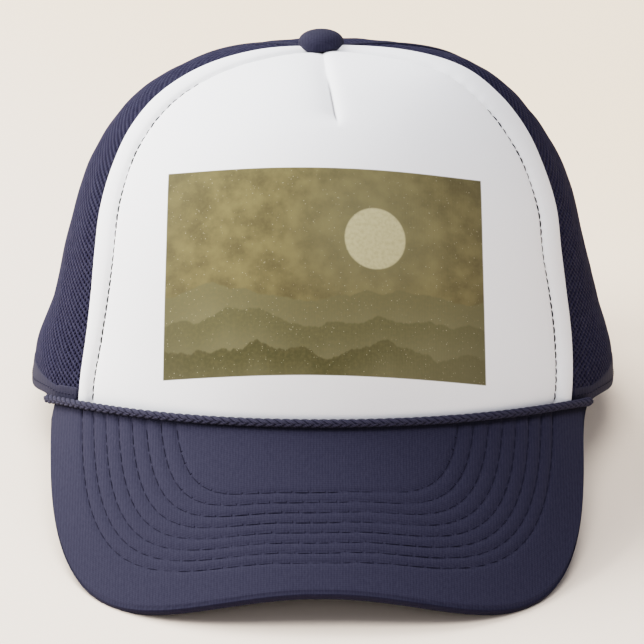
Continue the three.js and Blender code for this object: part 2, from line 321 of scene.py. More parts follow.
def hem_bottom(angle):
    kept = np.clip(angle, -PEAK_END_ANGLE, PEAK_END_ANGLE)
    on_peak = seam_height(kept) + GAP
    return on_peak * (1 - eased((np.abs(angle) - PEAK_END_ANGLE - 1) / HEM_RUN_OUT))


def hem_top(angle):
    return np.maximum(HEM_HEIGHT, seam_height(angle) + LEAST_HEM)


def back_distance(angle):
    """Millimetres round the rim from the centre back."""
    return np.radians(180 - np.abs(angle)) * RIM_RADIUS


def back_angle(distance):
    return 180 - np.degrees(distance / RIM_RADIUS)


def arch_rise(distance, widen):
    """Height of the arched opening at a distance from the centre, or of a line that far outside it."""
    part = np.minimum(np.abs(distance) / (ARCH_HALF_WIDTH + widen), 1)
    return (ARCH_HEIGHT + widen) * (1 - part**ARCH_POWER) ** (1 / ARCH_POWER)


def arch_place(turn, widen):
    """Distance from the centre and height on that arch, for a turn of -90 to 90 degrees."""
    across = signed_power(np.sin(np.radians(turn)), 2 / ARCH_POWER)
    distance = (ARCH_HALF_WIDTH + widen) * across
    return distance, arch_rise(distance, widen)


def place(points):
    """Points of the hat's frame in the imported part's, in metres, none of them below the floor."""
    x, y, z = np.moveaxis(np.asarray(points, float), -1, 0)
    forward = y * math.cos(REST_TILT) + z * math.sin(REST_TILT)
    upward = z * math.cos(REST_TILT) - y * math.sin(REST_TILT)
    moved = np.stack([x, forward, upward], axis=-1) + RIM_CENTRE
    moved[..., 2] = np.maximum(moved[..., 2], 0)
    return moved / 1000


def rough(points, size, seed):
    """Smooth pseudo-random values from -1 to 1 for points, with lumps of about the given size."""
    random = np.random.default_rng(seed)
    total = np.zeros(points.shape[:-1])
    for _ in range(6):
        direction = unit(random.normal(size=3))
        total += np.sin(points @ direction * (2 * math.pi / size) + random.uniform(0, 2 * math.pi))
    return total / 6


def add_object(name, data):
    made = bpy.data.objects.new(name, data)
    bpy.context.scene.collection.objects.link(made)
    return made


def add_mesh(name, points, faces, material, stands_for=(), uv=None):
    """A smooth mesh of points in the hat's frame. uv gives one pair for each point."""
    mesh = bpy.data.meshes.new(name)
    mesh.from_pydata(place(points.reshape(-1, 3)).tolist(), [], faces)
    mesh.polygons.foreach_set("use_smooth", [True] * len(mesh.polygons))
    mesh.materials.append(material)
    if uv is not None:
        corners = np.zeros(len(mesh.loops), int)
        mesh.loops.foreach_get("vertex_index", corners)
        layer = mesh.uv_layers.new(name="surface")
        layer.data.foreach_set("uv", uv.reshape(-1, 2)[corners].ravel())
    piece = add_object(name, mesh)
    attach(piece, "root")
    if stands_for:
        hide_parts(*stands_for)
    return piece


def ring_faces(columns, ring, start=0):
    """Faces of a tube with that many cross sections of ring points, its two ends closed."""
    point = np.arange(columns * ring).reshape(columns, ring) + start
    after = np.roll(point, -1, axis=1)
    quads = np.stack([point[:-1], point[1:], after[1:], after[:-1]], axis=-1)
    ends = [point[0].tolist(), point[-1, ::-1].tolist()]
    return quads.reshape(-1, 4).tolist() + ends


def mark_groove_shade(piece, depth):
    """Gives each point how far it lies in a groove, 0 to 1, for the material to darken as painted shade."""
    piece.data.attributes.new("groove", "FLOAT", "POINT").data.foreach_set("value", depth.ravel())


def tube(name, points, material, stands_for=(), uv=None):
    """A closed piece from cross sections: points has the shape (sections, points round, 3)."""
    faces = ring_faces(points.shape[0], points.shape[1])
    return add_mesh(name, points, faces, material, stands_for, uv)


def band_section(count, thickness, roundness=6):
    """Places round the cross section of a flat band: how far up it, 0 to 1, and how deep."""
    turn = full_turn(count)
    up = 0.5 + 0.5 * signed_power(np.cos(turn), 2 / roundness)
    depth = thickness / 2 * (1 - signed_power(np.sin(turn), 2 / roundness))
    return up, depth


BAND_POINTS = 44


def crown_band(name, angles, low, high, depth, thickness, material, stands_for):
    """A round-edged band on the crown between two heights and under a depth, each of them a number
    or one for each angle. Gives the piece, its length and its widths in metres."""
    low, high, depth = (np.broadcast_to(part, angles.shape)[:, None] for part in (low, high, depth))
    up, deep = band_section(BAND_POINTS, thickness)
    angle = angles[:, None]
    level = level_at(angle, between(low, high, up))
    points = crown_inside(angle, level, depth + deep)
    top, bottom = points[:, 0], points[:, BAND_POINTS // 2]
    length = np.linalg.norm(np.diff((top + bottom) / 2, axis=0), axis=-1).sum() / 1000
    width = np.linalg.norm(top - bottom, axis=-1) / 1000
    return tube(name, points, material, stands_for), length, width


def thread(name, rows, width, material):
    """Rows of stitches as stitched() gives them: short bent capsules, humped along their normals."""
    starts, ends, normals = (np.concatenate(part) for part in zip(*rows))
    sides = 6
    steps = np.array([0, 0.06, 0.3, 0.5, 0.7, 0.94, 1])
    arched = np.sin(steps * math.pi) * width * 0.35 - width * 0.2
    size = np.array([0.15, 0.75, 1, 1, 1, 0.75, 0.15]) * width / 2
    turn = full_turn(sides)
    along = unit(ends - starts)
    side = unit(np.cross(along, normals))
    middle = starts[:, None] + (ends - starts)[:, None] * steps[:, None]
    middle = middle + normals[:, None] * arched[:, None]
    across = side[:, None, None] * np.cos(turn)[:, None]
    out = normals[:, None, None] * np.sin(turn)[:, None]
    points = middle[:, :, None] + (across + out) * size[:, None, None]
    faces = []
    for stitch in range(len(starts)):
        faces += ring_faces(len(steps), sides, stitch * len(steps) * sides)
    add_mesh(name, points, faces, material)


def stitched(line, normals, pitch, share, offset=0.0):
    """Starts, ends and normals of the stitches along a line of points."""
    lengths = lengths_along(line)
    first = np.arange(offset * pitch, lengths[-1] - pitch * share, pitch)
    starts = at_distance(line, lengths, first)
    ends = at_distance(line, lengths, first + pitch * share)
    return starts, ends, unit(at_distance(normals, lengths, first + pitch * share / 2))


class Graph:
    """A material and short calls for the nodes in it. surface gives values of the shader's sockets."""

    def __init__(self, name, **surface):
        self.material = bpy.data.materials.new(name)
        self.material.use_nodes = True
        self.nodes = self.material.node_tree.nodes
        self.links = self.material.node_tree.links
        self.shader = self.nodes["Principled BSDF"]
        where = self.nodes.new("ShaderNodeTexCoord")
        self.placed = where.outputs["Object"]
        self.mapped = where.outputs["UV"]
        for socket, value in surface.items():
            self.shader.inputs[socket.replace("_", " ")].default_value = value

    def put(self, socket, value):
        if isinstance(value, bpy.types.NodeSocket):
            self.links.new(value, socket)
        else:
            socket.default_value = value

    def node(self, kind, *inputs, **settings):
        made = self.nodes.new("ShaderNode" + kind)
        for key, value in settings.items():
            setattr(made, key, value)
        for index, value in enumerate(inputs):
            if value is not None:
                self.put(made.inputs[index], value)
        return made

    def math(self, operation, *values):
        return self.node("Math", *values, operation=operation).outputs[0]

    def plus(self, first, second):
        return self.math("ADD", first, second)

    def minus(self, first, second):
        return self.math("SUBTRACT", first, second)

    def times(self, first, second):
        return self.math("MULTIPLY", first, second)

    def scaled(self, scale):
        """Object coordinates in metres, times the scale along each axis."""
        return self.node("Mapping", self.placed, None, None, scale).outputs[0]

    # how far a point lies in a groove, which the material darkens as painted shade
    def groove(self):
        return self.node("Attribute", attribute_name="groove").outputs["Fac"]

    def noise(self, vector, scale, detail):
        return self.node("TexNoise", vector, None, scale, detail).outputs["Fac"]

    def waves(self, vector, scale, distortion, direction="X"):
        made = self.node("TexWave", vector, scale, distortion, bands_direction=direction)
        return made.outputs["Fac"]

    def ramp(self, value, low, high):
        made = self.node("MapRange", value, low, high)
        made.interpolation_type = "SMOOTHSTEP"
        return made.outputs[0]

    def mix(self, part, first, second):
        made = self.nodes.new("ShaderNodeMix")
        made.data_type = "RGBA"
        self.put(made.inputs[0], part)
        # the colour sockets come after those for numbers and vectors
        self.put(made.inputs[6], first)
        self.put(made.inputs[7], second)
        return made.outputs[2]

    def color(self, socket):
        self.put(self.shader.inputs["Base Color"], socket)

    def bump(self, height, distance, strength):
        made = self.nodes.new("ShaderNodeBump")
        made.inputs["Strength"].default_value = strength
        made.inputs["Distance"].default_value = distance
        self.put(made.inputs["Height"], height)
        self.put(self.shader.inputs["Normal"], made.outputs[0])


NAVY_LIGHT = (0.037, 0.037, 0.058, 1)
NAVY = (0.023, 0.023, 0.0405, 1)
NAVY_DEEP = (0.0165, 0.016, 0.031, 1)
CORD_LIGHT = (0.054, 0.0535, 0.079, 1)
# painted shade for the grooves between the rope's strands
CORD_GROOVE_SHADE = (0.012, 0.0118, 0.022, 1)
NET_LIGHT = (0.029, 0.0295, 0.056, 1)
NET_DARK = (0.018, 0.018, 0.04, 1)
STRAP_LIGHT = (0.024, 0.024, 0.044, 1)
STRAP_DARK = (0.018, 0.018, 0.034, 1)
WHITE = (0.86, 0.86, 0.865, 1)
WHITE_SHADE = (0.84, 0.84, 0.845, 1)
# painted shade for the dart's fold
FOLD_PAINTED_SHADE = (0.16, 0.16, 0.17, 1)


# A wave texture of scale WAVE_UNIT / pitch repeats once in each pitch, in metres
WAVE_UNIT = 2 * math.pi / 20


def cloth_graph(name, roughness, sheen=0.0):
    return Graph(
        name, Roughness=roughness, Sheen_Weight=sheen, Sheen_Roughness=0.6, Specular_IOR_Level=0.1,
    )


TWILL_RIB = 0.00092
TWILL_PICK = 0.0007
JERSEY_RIB = 0.0009


def twill_material(name, dark, light):
    """Ribbed cotton twill: fine ribs front to back, picks across them, and uneven yarns."""
    graph = cloth_graph(name, 0.8, 0.025)
    ribs = graph.waves(graph.placed, WAVE_UNIT / TWILL_RIB, 0.8)
    picks = graph.waves(graph.placed, WAVE_UNIT / TWILL_PICK, 0.8, "Y")
    yarns = graph.noise(graph.scaled((1900, 700, 700)), 1.0, 3.0)
    shade = graph.plus(graph.times(ribs, 0.2), graph.times(picks, 0.15))
    shade = graph.plus(shade, graph.times(yarns, 0.65))
    graph.color(graph.mix(graph.ramp(shade, 0.15, 0.85), dark, light))
    height = graph.plus(ribs, graph.times(picks, 0.5))
    graph.bump(height, 0.00007, 0.36)
    return graph.material


def net_material():
    graph = cloth_graph("net_cloth", 0.75, 0.03)
    yarns = graph.waves(graph.placed, 900, 3.0, "Z")
    graph.color(graph.mix(graph.ramp(graph.noise(graph.placed, 500, 3.0), 0.3, 0.7), NET_DARK, NET_LIGHT))
    graph.bump(yarns, 0.00008, 0.5)
    return graph.material


def cord_material():
    graph = cloth_graph("cord_cloth", 0.8, 0.03)
    yarns = graph.waves(graph.placed, 700, 2.0, "DIAGONAL")
    strands = graph.mix(graph.ramp(yarns, 0.2, 0.9), NAVY_LIGHT, CORD_LIGHT)
    # painted shade darkens the grooves between the strands
    graph.color(graph.mix(graph.ramp(graph.groove(), 0.25, 0.9), strands, CORD_GROOVE_SHADE))
    graph.bump(yarns, 0.00012, 0.6)
    return graph.material


def thread_material(name, color):
    graph = cloth_graph(name, 0.7)
    twist = graph.waves(graph.placed, 1500, 1.0, "DIAGONAL")
    graph.color(graph.mix(twist, tuple(0.7 * part for part in color[:3]) + (1,), color))
    graph.bump(twist, 0.00005, 0.5)
    return graph.material


def plastic_material():
    graph = Graph("strap_plastic", Roughness=0.5, Specular_IOR_Level=0.25)
    grain = graph.noise(graph.placed, 2500, 2.0)
    graph.color(graph.mix(graph.noise(graph.placed, 60, 2.0), STRAP_DARK, STRAP_LIGHT))
    graph.bump(grain, 0.00002, 0.4)
    return graph.material


# The print, in colours that a sepia landscape has. Across and up run from 0 to 1 over its rectangle.
PRINT_SKY = (0.118, 0.098, 0.048, 1)
PRINT_GLOW = (0.2, 0.166, 0.08, 1)
PRINT_EDGE = (0.082, 0.072, 0.04, 1)
PRINT_FAR = (0.145, 0.13, 0.07, 1)
PRINT_MIDDLE = (0.118, 0.108, 0.056, 1)
PRINT_NEAR = (0.088, 0.081, 0.038, 1)
PRINT_DISC = (0.46, 0.41, 0.26, 1)
PRINT_MIST = (0.19, 0.172, 0.1, 1)
PRINT_FLECK = (0.5, 0.46, 0.34, 1)
PRINT_ASPECT = 1.55


def print_color(graph, across, up):
    """A pale disc over three misty ridges, with flecks of snow."""
    wide = graph.times(across, PRINT_ASPECT)
    flat = graph.node("CombineXYZ", wide, up, 0.0).outputs[0]
    mottle = graph.noise(flat, 9.0, 6.0)
    color = graph.mix(graph.ramp(mottle, 0.3, 0.72), PRINT_SKY, PRINT_GLOW)

    def distance_to(x, y):
        dx = graph.minus(wide, x)
        dy = graph.minus(up, y)
        squares = graph.plus(graph.times(dx, dx), graph.times(dy, dy))
        return graph.math("SQRT", squares)

    disc = distance_to(1.02, 0.66)
    halo = graph.times(graph.ramp(disc, 0.55, 0.12), 0.55)
    color = graph.mix(halo, color, PRINT_MIST)
    color = graph.mix(graph.ramp(disc, 0.152, 0.142), color, PRINT_DISC)
    # height, relief, scale, start and shade of each ridge, the farthest first
    ridges = (
        (0.40, 0.20, 1.7, 3.1, PRINT_FAR),
        (0.27, 0.22, 2.3, 7.7, PRINT_MIDDLE),
        (0.13, 0.20, 3.4, 12.9, PRINT_NEAR),
    )
    for height, relief, scale, start, shade in ridges:
        along = graph.node("CombineXYZ", graph.plus(wide, start), 0.0, 0.0).outputs[0]
        hills = graph.times(graph.noise(along, scale, 5.0), relief * 2)
        over = graph.minus(up, graph.plus(hills, height - relief))
        color = graph.mix(graph.ramp(over, 0.006, -0.006), color, shade)
        fog = graph.times(graph.ramp(over, -0.02, -0.2), 0.6)
        color = graph.mix(fog, color, PRINT_MIST)
    grain = graph.noise(flat, 60.0, 4.0)
    color = graph.mix(graph.times(graph.ramp(grain, 0.35, 0.75), 0.25), color, PRINT_GLOW)
    evening = graph.times(graph.ramp(across, 0.45, 0.95), graph.ramp(up, 0.4, 0.02))
    color = graph.mix(graph.times(evening, 0.6), color, PRINT_MIST)
    corner = distance_to(PRINT_ASPECT / 2, 0.5)
    color = graph.mix(graph.times(graph.ramp(corner, 0.55, 0.98), 0.5), color, PRINT_EDGE)
    for scale, size in ((34.0, 0.09), (58.0, 0.11)):
        cells = graph.node("TexVoronoi", flat, None, scale)
        spot = graph.ramp(cells.outputs["Distance"], size, size * 0.4)
        color = graph.mix(graph.times(spot, 0.75), color, PRINT_FLECK)
    return color


def foam_material():
    """White jersey over foam, with the print where the surface map is inside its rectangle."""
    graph = cloth_graph("foam_cloth", 0.95, 0.1)
    ribs = graph.waves(graph.scaled((1, 0, 0)), WAVE_UNIT / JERSEY_RIB, 0.6)
    weave = graph.noise(graph.scaled((1500, 1500, 300)), 1.0, 2.0)
    parts = graph.node("SeparateXYZ", graph.mapped)
    across, up = parts.outputs[0], parts.outputs[1]

    def within(value, soft):
        return graph.times(graph.ramp(value, 0.0, soft), graph.ramp(value, 1.0, 1.0 - soft))

    inside = graph.times(within(across, 0.004), within(up, 0.006))
    white = graph.mix(graph.noise(graph.placed, 30, 3.0), WHITE_SHADE, WHITE)
    # painted shade along the dart's fold greys the white
    white = graph.mix(graph.groove(), white, FOLD_PAINTED_SHADE)
    graph.color(graph.mix(inside, white, print_color(graph, across, up)))
    height = graph.plus(graph.times(ribs, 0.4), weave)
    graph.bump(height, 0.00004, 0.5)
    return graph.material


FLOOR_NEAR = (0.88, 0.76, 0.645, 1)
FLOOR_FAR = (0.88, 0.7, 0.525, 1)


def floor_material():
    """Warm paper, a little yellower at the back and right."""
    graph = Graph("floor_paper", Roughness=0.9)
    parts = graph.node("SeparateXYZ", graph.placed)
    away = graph.plus(parts.outputs[0], parts.outputs[1])
    graph.color(graph.mix(graph.ramp(away, 0.0, 0.4), FLOOR_NEAR, FLOOR_FAR))
    return graph.material


TWILL = twill_material("twill_cloth", NAVY, NAVY_LIGHT)
# darker twill for the binding and sweatband, and painted shade on the peak's turned-under edge and under
# side
TAPE_AND_SHADE = twill_material("tape_and_shade_cloth", NAVY_DEEP, NAVY)
NET = net_material()
CORD = cord_material()
FOAM = foam_material()
PLASTIC = plastic_material()
NAVY_THREAD = thread_material("navy_thread", (0.024, 0.0235, 0.041, 1))
DARK_THREAD = thread_material("dark_thread", (0.010, 0.010, 0.016, 1))


# The print's rectangle on the crown
PRINT_MIDDLE_X = 0.8
PRINT_HALF_WIDTH = 51.2
PRINT_FLARE = 1.7
PRINT_LOW = 0.163
PRINT_LOW_BOW = 0.0345
PRINT_LOW_LEAN = -0.0045
PRINT_HIGH = 0.554
PRINT_HIGH_BOW = 0.0195
PRINT_HIGH_LEAN = -0.0075

# The dart at the top of the foam: its line, its creased sides, and painted shade along the fold in it
DART_LEVELS = (0.6, 0.652, 0.686, 0.728, 0.821, 0.943, 1)
DART_X = (5.6, 5.2, 4.1, 3.2, 1.5, 0.5, 0)
DART_PLACE = 0.515
DART_HALF_WIDTH = 0.035
DART_CROWDING = 4
EDGE_CROWDING = 1.6
DART_DEPTH = 2.4
DART_LEFT_SLOPE = 4.6
DART_RIGHT_SLOPE = 1.5
DART_END = 0.64
DART_RUN_OUT = 0.05
DART_SHALLOW_FROM = 0.85
FOLD_SHADE_WIDTH = 0.3
FOLD_SHADE_TOP = 0.86

# Relief of the foam: a narrow stitched groove in a wider draw-in, a rolled edge outside it that turns
# under at the seam, and soft dents
GROOVE_DEPTH = 1.15
GROOVE_WIDTH = 0.85
DRAW_IN_DEPTH = 0.45
DRAW_IN_WIDTH = 3.2
PUCKER_SHARE = 0.12
ROLL_HEIGHT = 1.2
ROLL_POWER = 0.8
TURN_UNDER = 2.2
DENT_DEPTH = 0.22
DENT_SIZE = 38


def edge_distance(angle, level):
    """How far along the surface a point and the topstitching lie from the foam's nearer edge."""
    right = angle > 0
    edge = np.where(right, foam_edge(1)(level), foam_edge(-1)(level))
    across = column_at("side_x", level)
    ahead = np.abs(column_at("front_y", level) - column_at("side_y", level))
    middle = np.radians((angle + edge) / 2)
    speed = np.hypot(across * np.cos(middle), ahead * np.sin(middle))
    inset = np.where(right, column_at("stitch_right", level), column_at("stitch_left", level))
    return np.radians(np.abs(edge - angle)) * speed, inset


def beside_dart(level, points):
    """How far to the left of the dart's line a point lies."""
    return np.interp(level, DART_LEVELS, DART_X) - points[..., 0]


def foam_relief(angle, level, points):
    """How far the foam stands out from the plain crown: rolled edge, stitched groove and dart."""
    distance, inset = edge_distance(angle, level)
    groove = hump(distance - inset, GROOVE_WIDTH, GROOVE_DEPTH)
    groove += hump(distance - inset, DRAW_IN_WIDTH, DRAW_IN_DEPTH)
    puckers = 1 + PUCKER_SHARE * np.cos(2 * math.pi * points[..., 2] / FOAM_STITCH_PITCH)
    part = np.clip(distance / inset, 0, 1)
    roll = ROLL_HEIGHT * np.sin(math.pi * part) ** ROLL_POWER
    turned = TURN_UNDER * np.clip(1 - distance / TURN_UNDER, 0, 1) ** 2.2
    beside = beside_dart(level, points)
    fade = eased((level - DART_END) / DART_RUN_OUT)
    fade = fade * (1 - 0.5 * eased((level - DART_SHALLOW_FROM) / 0.1))
    slope = np.where(beside > 0, DART_LEFT_SLOPE, DART_RIGHT_SLOPE)
    crease = DART_DEPTH * np.exp(-np.abs(beside) / slope)
    dents = DENT_DEPTH * rough(points, DENT_SIZE, 11)
    return roll - groove * puckers - turned - crease * fade + dents


def dart_fold_painted_shade(level, points):
    """Painted shade on the line where the dart's two sides meet: 1 there, 0 away from it."""
    shown = eased((level - DART_END - 0.01) / 0.03) * eased((FOLD_SHADE_TOP - level) / 0.12)
    return hump(beside_dart(level, points), FOLD_SHADE_WIDTH) * shown


def print_place(x, level):
    """Across and up in the print's rectangle, 0 to 1 inside it."""
    side = (x - PRINT_MIDDLE_X) / PRINT_HALF_WIDTH
    bottom = PRINT_LOW - PRINT_LOW_BOW * side**2 + PRINT_LOW_LEAN * side
    top = PRINT_HIGH - PRINT_HIGH_BOW * side**2 + PRINT_HIGH_LEAN * side
    up = (level - bottom) / (top - bottom)
    half_width = PRINT_HALF_WIDTH + PRINT_FLARE * (0.5 - up)
    across = 0.5 + (x - PRINT_MIDDLE_X) / (2 * half_width)
    return np.stack([across, up], axis=-1)


def crowded_columns(count):
    """Places across the foam from 0 to 1, closer together at its rolled edges and at the dart."""
    even = np.linspace(0, 1, 2000)
    at_edges = EDGE_CROWDING * np.abs(2 * even - 1) ** 6
    crowding = 1 + at_edges + hump(even - DART_PLACE, DART_HALF_WIDTH, DART_CROWDING)
    gathered = np.cumsum(crowding)
    return np.interp(np.linspace(gathered[0], gathered[-1], count), gathered, even)


def across_foam(level, part):
    return between(foam_edge(-1)(level), foam_edge(1)(level), part)


def front_panel():
    rows = 170
    inner_rows = 30
    u = crowded_columns(240)
    v = np.concatenate([np.linspace(0, 1, rows), np.linspace(1, 0, inner_rows)])
    inner = np.arange(len(v)) >= rows
    low_angle = across_foam(SEAM_LEVEL, u)
    low = level_at(low_angle, seam_height(low_angle) + GAP)
    level = between(low[:, None], TOP_LEVEL, v)
    angle = across_foam(level, u[:, None])
    plain = crown_point(angle, level)
    relief = np.where(inner, -FOAM_THICKNESS, foam_relief(angle, level, plain))
    points = plain + crown_normal(angle, level) * relief[..., None]
    uv = print_place(plain[..., 0], level)
    uv[..., 1] = np.where(inner, -1, uv[..., 1])
    panel = tube("front_panel_foam", points, FOAM, ("front_panel",), uv)
    # painted shade along the dart's fold
    mark_groove_shade(panel, np.where(inner, 0, dart_fold_painted_shade(level, plain)))


def foam_stitch_line(sign, highest):
    """The line of the topstitching on one side, found by steps from a first guess."""
    level = np.linspace(FOAM_STITCH_START, highest, 400)
    angle = foam_edge(sign)(level) - sign * 8.0
    for _ in range(12):
        distance, inset = edge_distance(angle, level)
        angle = angle + sign * (distance - inset) * 0.6
    plain = crown_point(angle, level)
    normal = crown_normal(angle, level)
    lifted = foam_relief(angle, level, plain) + FOAM_STITCH_LIFT
    return plain + normal * lifted[:, None], normal


def foam_stitching():
    rows = []
    for sign, highest in ((-1, FOAM_STITCH_LEFT_END), (1, FOAM_STITCH_RIGHT_END)):
        line, normal = foam_stitch_line(sign, highest)
        rows.append(stitched(line, normal, FOAM_STITCH_PITCH, FOAM_STITCH_SHARE))
    thread("foam_stitching", rows, FOAM_THREAD_WIDTH, DARK_THREAD)


# Net: how far a panel reaches, how far a hole's middle may lie past its edge, and its lap under the hem
NET_REACH = 230
NET_EDGE_SPARE = 0.4
NET_LAP = 1.5
NET_SEED = 7


class NetPatch:
    """A panel of the net laid out from its middle line, and where each of its places is on the crown."""

    def __init__(self, first_edge, last_edge):
        self.edges = (first_edge, last_edge)
        self.levels = np.linspace(0, TOP_LEVEL, 500)
        self.line = crown_point(self.middle(self.levels), self.levels)
        self.risen = lengths_along(self.line)
        step = 0.5
        left = crown_point(self.middle(self.levels) - step, self.levels)
        right = crown_point(self.middle(self.levels) + step, self.levels)
        self.degree = np.linalg.norm(right - left, axis=1) / (2 * step)
        self.turn = NET_TURN * np.sign(self.middle(0.0))

    def middle(self, level):
        return (self.edges[0](level) + self.edges[1](level)) / 2

    def surface(self, x, y):
        """Angle and level of a place of the grid, how far it lies past the panel's edge, and how far up."""
        along = x * HOLE_PITCH / 2
        across = y * HOLE_ROWS / 3
        risen = along * math.sin(self.turn) + across * math.cos(self.turn)
        beside = along * math.cos(self.turn) - across * math.sin(self.turn)
        level = np.interp(risen, self.risen, self.levels)
        degree = np.interp(level, self.levels, self.degree)
        wanted = self.middle(level) + beside / degree
        low, high = np.sort(np.stack([edge(level) for edge in self.edges]), axis=0)
        angle = np.clip(wanted, low, high)
        return angle, level, np.abs(wanted - angle) * degree, risen

    def flat_size(self, low):
        """Width, length and area of the part above a lower edge, in metres."""
        above = self.line[:, 2] > low(self.middle(self.levels)) - NET_LAP
        width = np.abs(self.edges[1](self.levels) - self.edges[0](self.levels)) * self.degree * above
        area = np.sum(np.diff(self.risen) * (width[1:] + width[:-1]) / 2)
        return width.max() / 1000, np.ptp(self.risen[above]) / 1000, area / 1e6


def hole_middles(patch, low):
    """Places of the grid that are on the panel and above its lower edge."""
    reach = int(NET_REACH / HOLE_ROWS)
    row, column = np.meshgrid(np.arange(-reach, reach), np.arange(-reach, reach), indexing="ij")
    x = (2 * column + row % 2).ravel()
    y = (3 * row).ravel()
    angle, level, past_edge, risen = patch.surface(x, y)
    kept = past_edge < NET_EDGE_SPARE
    kept &= crown_point(angle, level)[..., 2] > low(angle) - NET_LAP
    kept &= (risen > 0) & (risen < patch.risen[-1] + HOLE_ROWS / 2)
    return x[kept], y[kept]


def net_faces(corner, starts):
    """Faces of the strands, from the corners round each hole and where the four layers of points start:
    the upper side, the walls of the holes and the under side."""
    hole = np.arange(corner.size).reshape(-1, 6)
    layers = (corner, hole + starts[1], hole + starts[2], corner + starts[3])
    faces = []
    for layer, below in zip(layers, layers[1:]):
        after = np.roll(layer, -1, axis=1)
        below_after = np.roll(below, -1, axis=1)
        faces.append(np.stack([layer, after, below_after, below], axis=-1))
    return np.concatenate(faces).reshape(-1, 4).tolist()


def net_mesh(patch, centre_x, centre_y):
    """Points and faces of a cloth with a six-sided hole round each of those middles."""
    corner_x = centre_x[:, None] + np.array([0, 1, 1, 0, -1, -1])
    corner_y = centre_y[:, None] + np.array([-2, -1, 1, 2, 1, -1])
    # neighbouring holes share the corners between them, and each of these becomes one point
    keys = corner_x * 100000 + corner_y
    _, first, corner = np.unique(keys.ravel(), return_index=True, return_inverse=True)
    corners = (corner_x.ravel()[first], corner_y.ravel()[first])
    uneven = np.random.default_rng(NET_SEED).uniform(-1, 1, (len(centre_x), 6))
    share = HOLE_SHARE + HOLE_UNEVENNESS * uneven
    holes = (
        between(centre_x[:, None], corner_x, share).ravel(),
        between(centre_y[:, None], corner_y, share).ravel(),
    )
    layers = (
        (corners, NET_DEPTH - STRAND_RIDGE),
        (holes, NET_DEPTH + STRAND_RIDGE),
        (holes, NET_DEPTH + NET_THICKNESS - STRAND_RIDGE),
        (corners, NET_DEPTH + NET_THICKNESS),
    )
    points = []
    starts = [0]
    for (x, y), depth in layers:
        angle, level, _, _ = patch.surface(x, y)
        plain = crown_point(angle, level)
        waves = NET_WAVE * rough(plain, NET_WAVE_SIZE, 3) + NET_RIPPLE * rough(plain, NET_RIPPLE_SIZE, 4)
        points.append(crown_inside(angle, level, depth - waves))
        starts.append(starts[-1] + len(x))
    return np.concatenate(points), net_faces(corner.reshape(-1, 6), starts)


def net_panel(name, first_edge, last_edge, low, node):
    """Real net: staggered six-sided holes in a cloth as thick as the CAD's wall."""
    patch = NetPatch(first_edge, last_edge)
    points, faces = net_mesh(patch, *hole_middles(patch, low))
    panel = add_mesh(name, points, faces, NET, (node,))
    width, length, area = patch.flat_size(low)


def straight_edge(angle):
    return lambda level: np.full(np.shape(level), float(angle))


def back_net_foot(angle):
    return np.maximum(hem_top(angle), arch_rise(back_distance(angle), BINDING_WIDTH))


def net_panels():
    for side, sign in SIDES:
        net_panel(
            f"mesh_front_{side}_net", foam_edge(sign), straight_edge(sign * SIDE_SEAM), hem_top,
            f"mesh_front_{side}",
        )
        net_panel(
            f"mesh_back_{side}_net", straight_edge(sign * SIDE_SEAM), straight_edge(sign * 180),
            back_net_foot, f"mesh_back_{side}",
        )


def seam_tape(name, angle, low):
    """The folded edge of the net where two panels are sewn together."""
    level = np.linspace(low, TOP_LEVEL, 130)
    line = crown_point(angle, level)
    normal = crown_normal(angle, level)
    side = unit(np.cross(np.gradient(line, axis=0), normal))
    turn = full_turn(16)
    near_top = eased((level - TAPE_NARROWS_FROM) / TAPE_NARROWS_OVER)
    half_width = between(TAPE_HALF_WIDTH, TAPE_HALF_WIDTH_TOP, near_top)
    across = side[:, None] * np.cos(turn)[:, None] * half_width[:, None, None]
    out = normal[:, None] * (np.sin(turn) * TAPE_HALF_DEPTH - TAPE_SUNK)[:, None]
    tube(name, line[:, None] + across + out, TWILL)


def seam_tapes():
    seam_tape("side_seam_left", -SIDE_SEAM, SIDE_TAPE_FOOT)
    seam_tape("side_seam_right", SIDE_SEAM, SIDE_TAPE_FOOT)
    seam_tape("back_seam", 180, BACK_TAPE_FOOT)


# Hems, binding, strap and sweatband
def hems():
    rows = []
    for side, sign in SIDES:
        edge = foam_edge(sign)(SEAM_LEVEL) + sign * HEM_CLEARANCE
        end = sign * back_angle(ARCH_HALF_WIDTH + BINDING_WIDTH + GAP)
        angles = np.sort(np.linspace(edge, end, 150))
        crown_band(
            f"hem_{side}_cloth", angles, hem_bottom(angles), hem_top(angles), 0,
            HEM_THICKNESS, TWILL, (f"hem_{side}",),
        )
        level = level_at(angles, hem_bottom(angles) + HEM_STITCH_INSET)
        line = crown_inside(angles, level, HEM_STITCH_DEPTH)
        rows.append(stitched(line, crown_normal(angles, level), HEM_STITCH_PITCH, FINE_STITCH_SHARE))
    thread("hem_stitching", rows, FINE_THREAD_WIDTH, NAVY_THREAD)


def binding_place(turn, part):
    """Angle and level on the crown for a turn round the arch and a part of the binding's width."""
    distance, height = arch_place(turn, part * BINDING_WIDTH)
    angle = back_angle(distance)
    return angle, level_at(angle, height)


def arch_binding():
    up, deep = band_section(32, HEM_THICKNESS, 5)
    angle, level = binding_place(np.linspace(90, -90, 150)[:, None], up)
    points = crown_inside(angle, level, deep)
    tube("arch_binding_tape", points, TAPE_AND_SHADE, ("arch_binding",))
    rows = []
    for part in (0.2, 0.8):
        angle, level = binding_place(np.linspace(90, -90, 170), part)
        line = crown_point(angle, level)
        normal = crown_normal(angle, level)
        rows.append(stitched(line, normal, BINDING_STITCH_PITCH, FINE_STITCH_SHARE))
    thread("binding_stitching", rows, FINE_THREAD_WIDTH, NAVY_THREAD)


